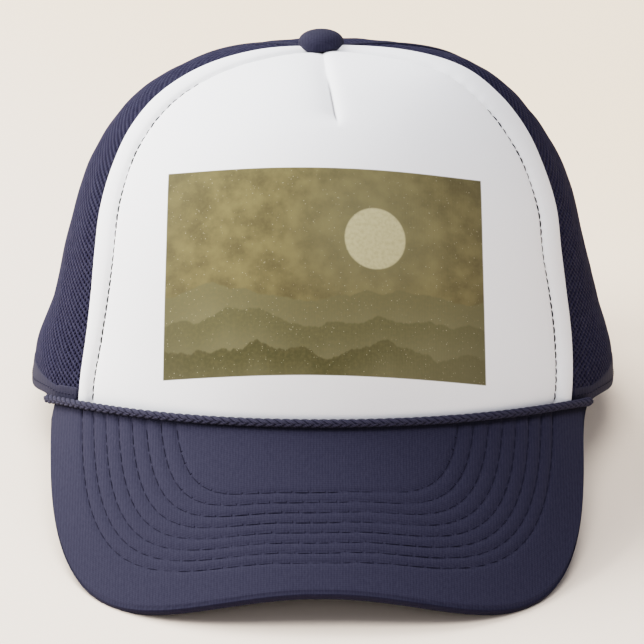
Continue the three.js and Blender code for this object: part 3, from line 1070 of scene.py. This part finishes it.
def snap_strap():
    reach = ARCH_HALF_WIDTH + STRAP_OVERLAP
    angles = back_angle(np.linspace(reach, -reach, 120))
    crown_band(
        "snap_strap_band", angles, STRAP_LOW, STRAP_HIGH, HEM_THICKNESS + GAP,
        STRAP_THICKNESS, PLASTIC, ("snap_strap",),
    )


def sweatband():
    end = back_angle(ARCH_HALF_WIDTH + STRAP_OVERLAP + 2 * GAP)
    angles = np.linspace(-end, end, 260)
    low = np.maximum(seam_height(angles) - SWEATBAND_OVERLAP, SWEATBAND_FOOT)
    high = seam_height(angles) * SWEATBAND_RISE + SWEATBAND_HEIGHT
    behind_peak = eased((np.abs(angles) - PEAK_END_ANGLE) / SWEATBAND_RUN_OUT)
    depth = between(FOAM_THICKNESS + GAP, HEM_THICKNESS + GAP, behind_peak)
    band, length, width = crown_band(
        "sweatband_cloth", angles, low, high, depth,
        SWEATBAND_THICKNESS, TAPE_AND_SHADE, ("sweatband",),
    )


# Peak
def row_shape(row):
    """Half width, front and power of the superellipse that a stitch row follows."""
    half_width = ROW_HALF_WIDTH - ROW_HALF_WIDTH_STEP * row - ROW_HALF_WIDTH_GROWTH * row * row
    return half_width, ROW_FRONT_Y + ROW_FRONT_Y_STEP * row, ROW_POWER + ROW_POWER_STEP * row


def row_bow(x):
    """How far the rows lie behind their superellipse away from the middle."""
    return ROW_BOW * (1 - hump(x - ROW_SHIFT, ROW_BOW_WIDTH))


def row_share(x, y, row):
    """Under 1 inside the stitch row, 1 on it and over 1 outside."""
    half_width, front, power = row_shape(row)
    side = np.abs(x - ROW_SHIFT) / half_width
    ahead = np.clip(PEAK_TEMPLE_Y - y + row_bow(x), 0, None) / (PEAK_TEMPLE_Y - front)
    return side**power + ahead**power


def row_at(x, y):
    """Which stitch row runs through a point, as a number with a fraction, also outside the rows."""
    return bisected(-3.5, 10, 22, np.shape(x), lambda row: row_share(x, y, row) < 1)


def peak_place(u, v):
    """A place on the peak's upper face: u across, v from the crown to the edge."""
    angle = between(-PEAK_END_ANGLE, PEAK_END_ANGLE, u)
    rim = crown_point(angle, 0.0)
    turn = between(-math.pi / 2, math.pi / 2, u)
    shift = between(PEAK_SHIFT_SIDE, PEAK_SHIFT_FRONT, np.cos(turn))
    outer_x = PEAK_HALF_WIDTH * signed_power(np.sin(turn), 2 / PEAK_OUTLINE_POWER) + shift
    depth = (PEAK_TEMPLE_Y - PEAK_FRONT_Y) * signed_power(np.cos(turn), 2 / PEAK_OUTLINE_POWER)
    part = np.clip((v - PEAK_MARGIN) / (1 - PEAK_MARGIN), 0, 1)
    x = between(rim[..., 0], outer_x, part)
    y = between(rim[..., 1], PEAK_TEMPLE_Y - depth, part)
    outer = np.stack([x, y, peak_top(x, y)], axis=-1)
    inwards = np.clip(1 - v / PEAK_MARGIN, 0, 1)
    under = crown_inside(angle, 0.0, FOAM_THICKNESS * inwards)
    under[..., 2] = seam_height(angle) - PEAK_MARGIN_DROP * inwards
    return np.where((v < PEAK_MARGIN)[..., None], under, outer)


def peak_relief(points, v):
    """Sunk stitch rows with soft quilting between them."""
    row = row_at(points[..., 0], points[..., 1])
    nearest = np.clip(np.round(row), 0, ROW_COUNT - 1)
    off = np.abs(row - nearest) * ROW_SPACING
    sunk = hump(off, ROW_GROOVE_WIDTH, ROW_GROOVE_DEPTH) + hump(off, QUILT_WIDTH, QUILT_DEPTH)
    shown = eased((v - PEAK_MARGIN) / 0.02)
    return PEAK_DENT_DEPTH * rough(points, PEAK_DENT_SIZE, 5) - sunk * shown


def peak_face(u, v):
    """Points of the peak's upper face, and the directions of its thickness there."""
    u, v = np.broadcast_arrays(u, v)
    points = peak_place(u, v)
    upright = np.array([0, 0, 1.0])
    lean = np.clip(v / PEAK_MARGIN, 0, 1)[..., None]
    return points, unit(between(upright, peak_normal(points[..., 0], points[..., 1]), lean))


def peak_edge(rim, normal, outward):
    """The cloth turned round the peak's edge, from its upper face to its under side."""
    turn = np.linspace(0, math.pi, 11)[1:-1]
    half = PEAK_THICKNESS / 2
    return (
        rim[:, None]
        - normal[:, None] * (half - half * np.cos(turn) * 0.92)[:, None]
        + outward[:, None] * (PEAK_EDGE_BULGE * np.sin(turn) ** 0.7)[:, None]
    )


def peak_shell():
    top_rows = 100
    part = np.linspace(0, 1, 460)
    u = between(0.004, 0.996, part - 0.1 * np.sin(2 * math.pi * part))[:, None]
    v = np.linspace(0, 1, top_rows)
    top, normal = peak_face(u, v)
    edge_round = PEAK_EDGE_ROUND * np.clip(1 - (1 - v) / 0.012, 0, 1) ** 2
    raised = top + normal * (peak_relief(top, v) - edge_round)[..., None]
    edge = peak_edge(top[:, -1], normal[:, -1], unit(top[:, -1] - top[:, -3]))
    below, below_normal = peak_face(u, np.linspace(1, 0, 36))
    under = below - below_normal * (PEAK_THICKNESS - PEAK_UNDER_INSET)
    points = np.concatenate([raised, edge, under], axis=1)
    peak = tube("peak_cloth", points, TWILL, ("peak",))
    # the turned-under edge and the under side get the darker twill as painted shade
    peak.data.materials.append(TAPE_AND_SHADE)
    ring = points.shape[1]
    painted_shade_faces = np.arange(len(peak.data.polygons)) % ring >= top_rows - 1
    peak.data.polygons.foreach_set("material_index", painted_shade_faces.astype(int))


def row_curve(row):
    """Points of one stitch row on the peak's upper face, from the left seam to the right one."""
    turn = np.linspace(-math.pi / 2, math.pi / 2, 700)
    half_width, front, power = row_shape(row)
    y = PEAK_TEMPLE_Y - (PEAK_TEMPLE_Y - front) * np.cos(turn) ** (2 / power)
    x = half_width * signed_power(np.sin(turn), 2 / power) + ROW_SHIFT
    y = y + row_bow(x)
    points = np.stack([x, y, peak_top(x, y)], axis=-1)
    rim = crown_point(np.linspace(-80, 80, 300), 0.0)
    return points[y < np.interp(x, rim[:, 0], rim[:, 1]) - 1.0]


def peak_stitching():
    """Dashes along the rows, and towards the front a short tick across the end of each."""
    rows = []
    for row in range(ROW_COUNT):
        line = row_curve(row)
        normal = peak_normal(line[:, 0], line[:, 1])
        line = line - normal * PEAK_STITCH_DEPTH
        stagger = PEAK_STITCH_STAGGER * row % 1
        start, end, out = stitched(line, normal, PEAK_STITCH_PITCH, PEAK_STITCH_SHARE, stagger)
        near_front = np.abs(end[:, 0]) < TICK_REACH
        knot = end[near_front]
        backwards = unit(np.cross(out[near_front], unit(end - start)[near_front]))
        tick_start = knot - backwards * TICK_LENGTH * 0.2
        tick_end = knot + backwards * TICK_LENGTH
        rows += [(start, end, out), (tick_start, tick_end, out[near_front])]
    thread("peak_stitching", rows, PEAK_THREAD_WIDTH, NAVY_THREAD)


# Rope: half its width and depth, and the strands of its tight braid
ROPE_HALF_WIDTH = 1.38
ROPE_HALF_DEPTH = 1.25
BRAID_PITCH = 3.0
BRAID_SLANT = 0.5
BRAID_RELIEF = 0.29
BRAID_MIDDLE = math.radians(30)
BRAID_GROOVE_SHARE = 0.4
BRAID_GROOVE_WIDTH = 0.22
# thin at the very ends, with a little swelling behind them
ROPE_END_SIZE = 0.62
ROPE_END_LENGTH = 2
ROPE_SWELL = 0.12
ROPE_SWELL_PLACE = 4
ROPE_SWELL_WIDTH = 2.5


def rope_route(angle):
    """The rope's middle line, which touches both the crown and the peak but for a small gap."""
    out = ROPE_DIAMETER / 2 + GAP
    beside = crown_inside(angle, 0.0, -out)
    normal = peak_normal(beside[..., 0], beside[..., 1])
    z = peak_top(beside[..., 0], beside[..., 1]) + out / normal[..., 2]
    return np.stack([beside[..., 0], beside[..., 1], z], axis=-1)


def rope_braid():
    """Strands that slant away from the rope's middle line on both sides, like a row of chevrons."""
    sides = 32
    dense = np.linspace(ROPE_LEFT_END, ROPE_RIGHT_END, 900)
    route = rope_route(dense)
    lengths = lengths_along(route)
    along = np.linspace(0, lengths[-1], 1000)
    line = at_distance(route, lengths, along)
    angle = np.interp(along, lengths, dense)
    forward = unit(np.gradient(line, axis=0))
    facing = unit(crown_normal(angle, 0.0) + peak_normal(line[:, 0], line[:, 1]))
    facing = unit(facing - forward * (facing * forward).sum(1, keepdims=True))
    beside = np.cross(forward, facing)
    from_end = np.minimum(along, along[-1] - along)
    size = between(ROPE_END_SIZE, 1, eased(from_end / ROPE_END_LENGTH))
    size += hump(from_end - ROPE_SWELL_PLACE, ROPE_SWELL_WIDTH, ROPE_SWELL)
    off_middle = np.linspace(-math.pi, math.pi, sides, endpoint=False) + math.pi / sides
    turn = off_middle + BRAID_MIDDLE
    strand = along[:, None] / BRAID_PITCH + BRAID_SLANT * np.abs(off_middle) + 0.5 * (off_middle > 0)
    ridge = np.abs(np.sin(math.pi * strand)) ** 0.7
    middle_groove = hump(off_middle, BRAID_GROOVE_WIDTH, BRAID_GROOVE_SHARE)
    radius = 1 - BRAID_RELIEF + BRAID_RELIEF * (ridge - middle_groove)
    ring = (
        facing[:, None] * (np.cos(turn) * radius * ROPE_HALF_DEPTH)[..., None]
        + beside[:, None] * (np.sin(turn) * radius * ROPE_HALF_WIDTH)[..., None]
    )
    points = line[:, None] + ring * size[:, None, None]
    rope = tube("rope_plait", points, CORD, ("rope_braid",))
    # painted shade in the grooves between the strands
    mark_groove_shade(rope, 1 - ridge)


def top_button():
    """A covered button: a low dome whose cloth is drawn in under its rim."""
    around = 72
    profile = 26
    turn = full_turn(around)[:, None]
    rise = np.linspace(0, 1, profile)
    dome = np.clip((rise - BUTTON_RIM) / (1 - BUTTON_RIM), 0, 1)
    radius = BUTTON_RADIUS * np.sqrt(1 - dome**BUTTON_DOME_POWER)
    radius = radius * (1 - BUTTON_DRAW_IN * np.clip(1 - rise / BUTTON_RIM, 0, 1) ** 2)
    folds = 1 + 0.012 * np.cos(6 * turn) * np.clip(1 - rise / 0.5, 0, 1)
    centre = crown_point(0.0, 1.0)
    x = centre[0] + radius * folds * np.cos(turn)
    y = centre[1] + radius * folds * np.sin(turn)
    drop = (0.3 * (1 + np.cos(3 * turn)) + 0.5) * np.clip(1 - rise / 0.3, 0, 1)
    z = centre[2] + BUTTON_LIFT + BUTTON_HEIGHT * rise - drop
    points = np.stack(np.broadcast_arrays(x, y, z), axis=-1)
    point = np.arange(around * profile).reshape(around, profile)
    after = np.roll(point, -1, axis=0)
    quads = np.stack([point[:, :-1], after[:, :-1], after[:, 1:], point[:, 1:]], axis=-1)
    faces = quads.reshape(-1, 4).tolist() + [point[::-1, 0].tolist()]
    add_mesh("top_button_cloth", points, faces, TWILL, ("top_button",))


# Stage
CAMERA_DISTANCE = 2.2
CAMERA_ABOVE_RIM = math.radians(16)
SENSOR_WIDTH = 36
PHOTO_WIDTH = 644
PIXELS_PER_MM = 3.0
VIEW_LIFT = 18.33 / 1000


def add_camera():
    data = bpy.data.cameras.new("camera")
    data.sensor_width = SENSOR_WIDTH
    data.lens = SENSOR_WIDTH * CAMERA_DISTANCE * 1000 / (PHOTO_WIDTH / PIXELS_PER_MM)
    data.clip_end = 50
    camera = add_object("camera", data)
    tilt = CAMERA_ABOVE_RIM + REST_TILT
    back = Vector((0, -math.cos(tilt), math.sin(tilt)))
    up = Vector((0, math.sin(tilt), math.cos(tilt)))
    middle = Vector(RIM_CENTRE / 1000)
    camera.location = middle + back * CAMERA_DISTANCE
    aim = middle + up * VIEW_LIFT - camera.location
    camera.rotation_euler = aim.to_track_quat("-Z", "Y").to_euler()
    bpy.context.scene.camera = camera


# Azimuth from the front towards +X and elevation in degrees, and power in watts
SOFT_LIGHTS = {
    "low_left": (-93, 26, 49),
    "high_back_left": (-138, 46, 39),
    "low_front": (0, 20, 9),
    "overhead": (0, 80, 25),
}
LIGHT_DISTANCE = 2.2
LIGHT_SIZE = 1.4
WORLD_COLOR = (0.93, 0.96, 1.12, 1)
WORLD_STRENGTH = 0.3
FLOOR_REACH = 12


def add_light(name, azimuth, elevation, energy):
    data = bpy.data.lights.new(name, "AREA")
    data.shape = "DISK"
    data.size = LIGHT_SIZE
    data.energy = energy
    light = add_object(name, data)
    turn = math.radians(azimuth)
    tilt = math.radians(elevation)
    away = Vector((math.sin(turn) * math.cos(tilt), -math.cos(turn) * math.cos(tilt), math.sin(tilt)))
    light.location = away * LIGHT_DISTANCE
    light.rotation_euler = (-away).to_track_quat("-Z", "Y").to_euler()


def add_stage():
    mesh = bpy.data.meshes.new("floor")
    corners = [(x * FLOOR_REACH, y * FLOOR_REACH, 0) for x, y in ((-1, -1), (1, -1), (1, 1), (-1, 1))]
    mesh.from_pydata(corners, [], [(0, 1, 2, 3)])
    mesh.materials.append(floor_material())
    add_object("floor", mesh)
    world = bpy.data.worlds.new("studio")
    world.use_nodes = True
    background = world.node_tree.nodes["Background"]
    background.inputs["Color"].default_value = WORLD_COLOR
    background.inputs["Strength"].default_value = WORLD_STRENGTH
    bpy.context.scene.world = world
    for name, (azimuth, elevation, energy) in SOFT_LIGHTS.items():
        add_light(name, azimuth, elevation, energy)
    bpy.context.scene.view_settings.view_transform = "Filmic"
    bpy.context.scene.view_settings.look = "High Contrast"


add_camera()
front_panel()
foam_stitching()
seam_tapes()
hems()
arch_binding()
net_panels()
snap_strap()
sweatband()
peak_shell()
peak_stitching()
rope_braid()
top_button()
add_stage()
